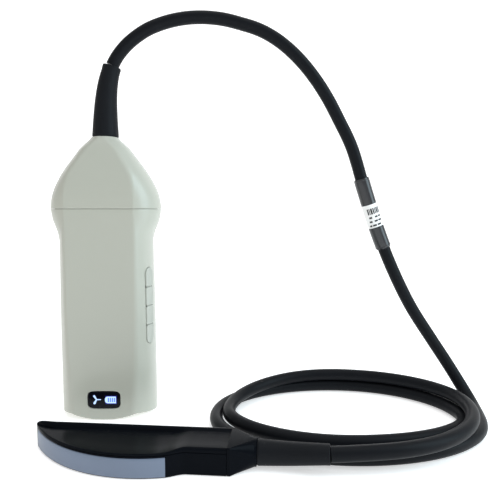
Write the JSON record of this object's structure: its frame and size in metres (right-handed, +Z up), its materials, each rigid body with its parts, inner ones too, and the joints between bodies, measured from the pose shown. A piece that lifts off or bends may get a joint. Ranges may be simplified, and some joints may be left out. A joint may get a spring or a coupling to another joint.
{
  "type": "handheld veterinary ultrasound scanner",
  "caption": "Handheld wireless ultrasound unit with side keys and a small display, joined by a long coiled cable to a curved-face rectal probe.",
  "frame": {"origin": "centre of the scanner unit's flat base, on the surface that the unit, the cable coil and the probe rest on", "axes": "+Z up along the unit towards its cable outlet; -Y out of the face with the display; +X out of the side with the keys and towards the cable coil"},
  "size_m": [0.2516, 0.1201, 0.2395],
  "materials": {
    "housing_shell": "satin",
    "key_plastic": "satin",
    "display_glass": "gloss",
    "display_panel": "gloss",
    "gasket_rubber": "matte",
    "circuit_board": "satin",
    "chip_body": "matte",
    "shield_metal": "satin",
    "steel": "satin",
    "copper": "satin",
    "battery_wrap": "satin",
    "frame_plastic": "matte",
    "boot_rubber": "satin",
    "cable_jacket": "satin",
    "clear_shrink": "gloss",
    "label_paper": "matte",
    "probe_plastic": "gloss",
    "lens_silicone": "matte",
    "array_ceramic": "matte",
    "backing_epoxy": "matte"
  },
  "bodies": {
    "unit": {"main_housing": "housing_shell", "top_cap": "housing_shell", "display_window": "display_glass", "oled_panel": "display_panel", "seam_gasket": "gasket_rubber", "display_gasket": "gasket_rubber", "keypad_membrane": "gasket_rubber", "main_board": "circuit_board", "front_end_board": "circuit_board", "key_board": "circuit_board", "probe_termination_board": "circuit_board", "power_inductor": "chip_body", "charging_ferrite": "chip_body", "processor_shield": "shield_metal", "front_end_shield": "shield_metal", "chassis_screw_1": "steel", "chassis_screw_2": "steel", "chassis_screw_3": "steel", "chassis_screw_4": "steel", "tact_switch_1": "steel", "tact_switch_2": "steel", "tact_switch_3": "steel", "tact_switch_4": "steel", "gland_nut": "steel", "cable_clamp": "steel", "probe_cable_clamp": "steel", "display_flex": "copper", "wifi_antenna": "copper", "charging_coil": "copper", "array_flex": "copper", "battery_pack": "battery_wrap", "inner_chassis": "frame_plastic", "cable_gland": "frame_plastic", "cable_header": "frame_plastic", "probe_connector": "frame_plastic", "scanner_boot": "boot_rubber", "probe_boot": "boot_rubber", "cable_arch": "cable_jacket", "cable_coil": "cable_jacket", "cable_tail": "cable_jacket", "cable_pigtail": "cable_jacket", "clear_sleeve": "clear_shrink", "cable_label": "label_paper", "probe_lower_shell": "probe_plastic", "probe_upper_shell": "probe_plastic", "probe_collar": "probe_plastic", "acoustic_lens": "lens_silicone", "transducer_array": "array_ceramic", "backing_block": "backing_epoxy"},
    "key_1": {"side_key_1": "key_plastic"},
    "key_2": {"side_key_2": "key_plastic"},
    "key_3": {"side_key_3": "key_plastic"},
    "key_4": {"side_key_4": "key_plastic"}
  },
  "joints": [
    {"name": "key_1_press", "type": "slide", "parent": "unit", "child": "key_1", "axis": [-0.9397, 0.342, 0], "range_m": [0, 0.0006], "stiffness_N_per_m": 1000, "springref_m": -0.0008},
    {"name": "key_2_press", "type": "slide", "parent": "unit", "child": "key_2", "axis": [-0.9397, 0.342, 0], "range_m": [0, 0.0006], "stiffness_N_per_m": 1000, "springref_m": -0.0008},
    {"name": "key_3_press", "type": "slide", "parent": "unit", "child": "key_3", "axis": [-0.9397, 0.342, 0], "range_m": [0, 0.0006], "stiffness_N_per_m": 1000, "springref_m": -0.0008},
    {"name": "key_4_press", "type": "slide", "parent": "unit", "child": "key_4", "axis": [-0.9397, 0.342, 0], "range_m": [0, 0.0006], "stiffness_N_per_m": 1000, "springref_m": -0.0008}
  ]
}
